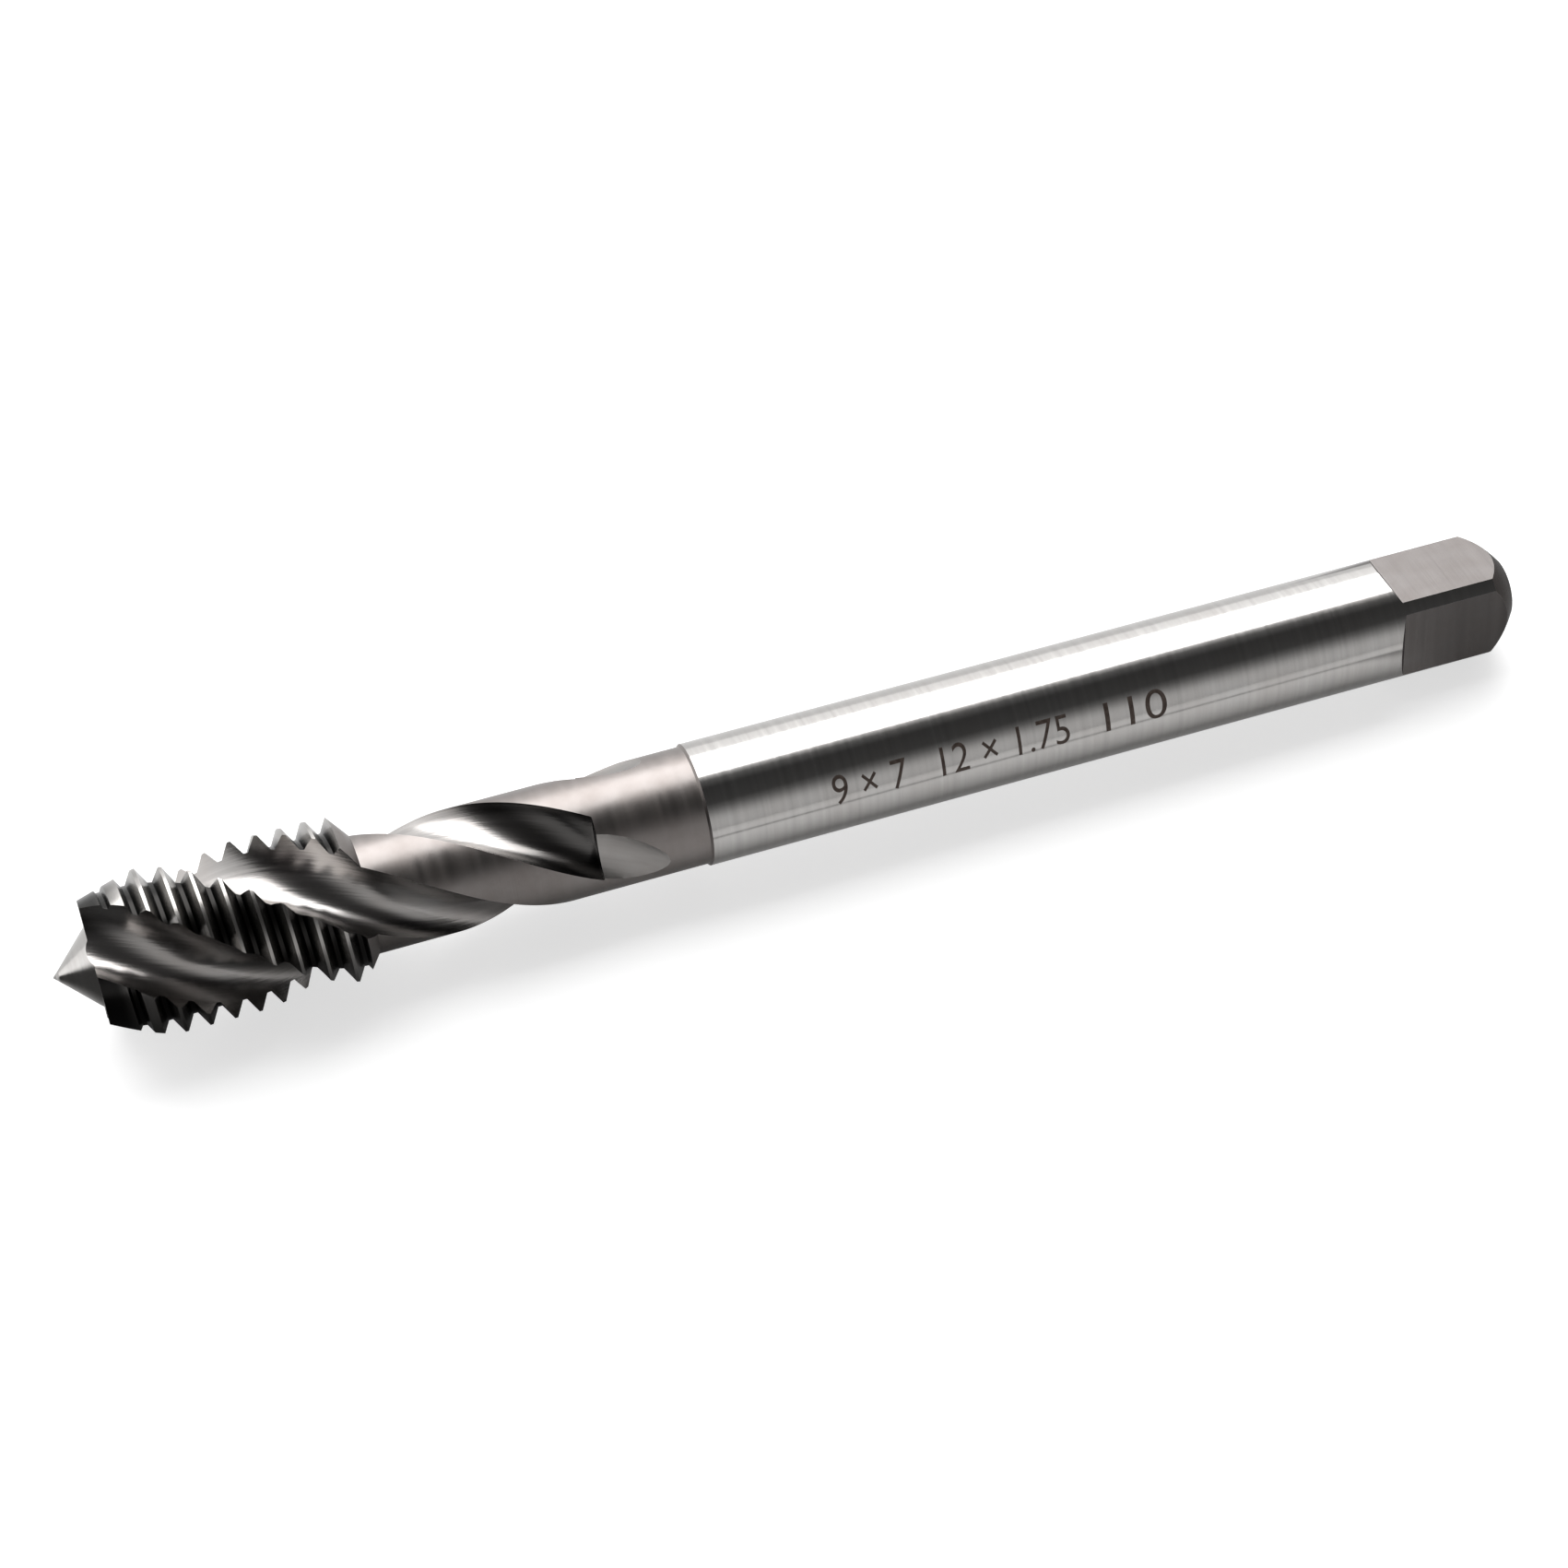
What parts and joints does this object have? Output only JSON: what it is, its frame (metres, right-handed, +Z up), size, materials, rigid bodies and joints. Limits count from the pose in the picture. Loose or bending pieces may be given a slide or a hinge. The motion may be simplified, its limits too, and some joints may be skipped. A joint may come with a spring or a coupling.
{
  "type": "thread tap",
  "caption": "Machine thread tap lying on its side: spiral-fluted threaded cutting head with a pointed centre, slim neck, round shank and driving square.",
  "frame": {"origin": "bottom centre of the bounding box, on the surface that the tap lies on", "axes": "+X runs along the tap from its point to its driving square, falling by 1.1 degrees as it lies; +Z is up; +Y is to its left"},
  "size_m": [0.11, 0.012, 0.0122],
  "materials": {
    "high_speed_steel": "ground, bright on the shank and dull on the neck"
  },
  "bodies": {
    "root": {"tap": "high_speed_steel"}
  },
  "joints": []
}
